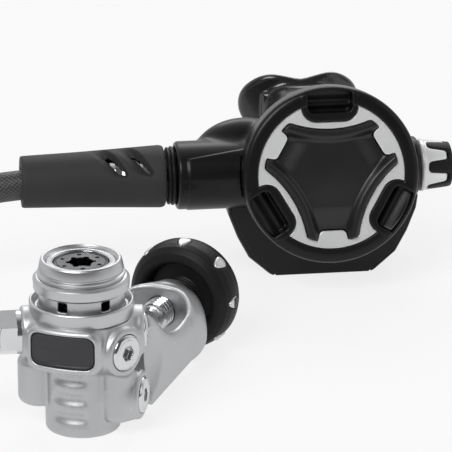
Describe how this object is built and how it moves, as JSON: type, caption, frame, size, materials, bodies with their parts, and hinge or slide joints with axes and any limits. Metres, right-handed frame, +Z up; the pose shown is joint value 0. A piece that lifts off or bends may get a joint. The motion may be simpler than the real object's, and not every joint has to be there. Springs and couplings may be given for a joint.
{
  "type": "scuba regulator",
  "caption": "Scuba regulator set: yoke-clamp first stage, low-pressure hose and adjustable second stage with purge button, exhaust tee and mouthpiece.",
  "frame": {"origin": "on the floor, under the middle of the two stages measured without the hose", "axes": "+Z up, +X to the right and +Y to the rear, seen from the side that shows the purge button"},
  "size_m": [0.3979, 0.2179, 0.0788],
  "materials": {
    "satin_metal": "satin pearl grey",
    "chrome_metal": "polished",
    "brass_metal": "machined",
    "steel": "brushed",
    "seat_plastic": "matte",
    "black_rubber": "matte",
    "black_case": "satin gloss",
    "black_silicone": "glossy",
    "silver_plate": "satin silver",
    "dark_label": "satin dark grey"
  },
  "bodies": {
    "regulator_body": {"first_stage_body": "satin_metal", "label_plate": "dark_label", "port_plugs": "chrome_metal", "plug_seals": "black_rubber", "balance_plug": "chrome_metal", "collar_ring": "satin_metal", "spring_housing": "satin_metal", "lock_ring": "chrome_metal", "main_spring": "steel", "first_diaphragm": "black_rubber", "first_orifice": "brass_metal", "first_poppet_spring": "steel", "yoke": "satin_metal", "yoke_retainer": "chrome_metal", "retainer_seal": "black_rubber", "inlet_filter": "steel", "filter_clip": "steel", "hose": "black_rubber", "hose_sleeve": "black_rubber", "hose_ferrule": "chrome_metal", "hose_stem": "chrome_metal", "stem_seal": "black_rubber", "hose_fitting": "chrome_metal"},
    "pressed_washer": {"spring_washer": "brass_metal"},
    "adjuster": {"adjusting_screw": "dark_label"},
    "lifted_valve": {"lifter_pin": "steel", "first_poppet": "seat_plastic", "spring_button": "seat_plastic"},
    "pushed_pad": {"thrust_pad": "chrome_metal"},
    "handwheel": {"yoke_screw": "chrome_metal", "handwheel_hub": "steel", "handwheel_grip": "black_rubber", "grip_inserts": "steel", "wheel_screw": "chrome_metal"},
    "second_stage": {"second_case": "black_case", "cover_ring": "black_case", "silver_trim": "silver_plate", "second_diaphragm": "black_rubber", "valve_barrel": "brass_metal", "orifice_seat": "brass_metal", "poppet_spring": "steel", "barrel_nut": "chrome_metal", "exhaust_valve": "black_rubber", "exhaust_bridge": "seat_plastic", "exhaust_tee": "black_case", "mouthpiece": "black_silicone", "mouthpiece_tie": "seat_plastic", "swivel_nut": "black_case"},
    "button": {"purge_button": "black_case", "purge_spring": "steel"},
    "sensing_disc": {"diaphragm_disc": "seat_plastic"},
    "lever_arm": {"lever": "steel"},
    "demand_poppet": {"poppet": "seat_plastic"},
    "knob": {"adjust_knob": "silver_plate", "knob_grip": "black_rubber"},
    "spindle": {"adjust_spindle": "brass_metal", "spindle_seal": "black_rubber"}
  },
  "joints": [
    {"name": "adjuster_advance", "type": "slide", "parent": "regulator_body", "child": "pressed_washer", "axis": [0, 0, -1], "range_m": [0, 0.0021], "deforming": ["main_spring"]},
    {"name": "adjuster_turn", "type": "hinge", "parent": "pressed_washer", "child": "adjuster", "pos_m": [-0.06646, -0.08668, 0.055], "axis": [0, 0, -1], "range_deg": [0, 720]},
    {"name": "valve_lift", "type": "slide", "parent": "regulator_body", "child": "lifted_valve", "axis": [0, 0, 1], "range_m": [0, 0.0006], "deforming": ["first_diaphragm"]},
    {"name": "yoke_screw_advance", "type": "slide", "parent": "regulator_body", "child": "pushed_pad", "axis": [-0.5373, -0.8434, 0], "range_m": [-0.0109, 0.0037]},
    {"name": "handwheel_turn", "type": "hinge", "parent": "pushed_pad", "child": "handwheel", "pos_m": [-0.02348, -0.01921, 0.0202], "axis": [-0.5373, -0.8434, 0], "range_deg": [-2160, 720]},
    {"name": "hose_swivel", "type": "hinge", "parent": "regulator_body", "child": "second_stage", "pos_m": [-0.01446, 0.04802, 0.04245], "axis": [1, 0, 0], "continuous": true},
    {"name": "purge_press", "type": "slide", "parent": "second_stage", "child": "button", "axis": [0, 0.9763, -0.2164], "range_m": [0, 0.003], "stiffness_N_per_m": 400},
    {"name": "diaphragm_stroke", "type": "slide", "parent": "second_stage", "child": "sensing_disc", "axis": [0, 0.9763, -0.2164], "range_m": [0, 0.0016]},
    {"name": "lever_swing", "type": "hinge", "parent": "second_stage", "child": "lever_arm", "pos_m": [0.02634, 0.04685, 0.04271], "axis": [0, 0.2164, 0.9763], "range_deg": [0, 7]},
    {"name": "poppet_lift", "type": "slide", "parent": "second_stage", "child": "demand_poppet", "axis": [1, 0, 0], "range_m": [0, 0.0004]},
    {"name": "spindle_advance", "type": "slide", "parent": "second_stage", "child": "spindle", "axis": [-1, 0, 0], "range_m": [0, 0.0016]},
    {"name": "knob_turn", "type": "hinge", "parent": "second_stage", "child": "knob", "pos_m": [0.08154, 0.04802, 0.04245], "axis": [-1, 0, 0], "range_deg": [0, 540]}
  ],
  "couplings": [
    {"joint": "adjuster_advance", "follows": "adjuster_turn", "m_per_rad": 0.00015915},
    {"joint": "yoke_screw_advance", "follows": "handwheel_turn", "m_per_rad": 0.00028648},
    {"joint": "diaphragm_stroke", "follows": "purge_press", "ratio": 0.5},
    {"joint": "lever_swing", "follows": "purge_press", "rad_per_m": 35},
    {"joint": "poppet_lift", "follows": "purge_press", "ratio": 0.1},
    {"joint": "spindle_advance", "follows": "knob_turn", "m_per_rad": 0.00015915}
  ]
}
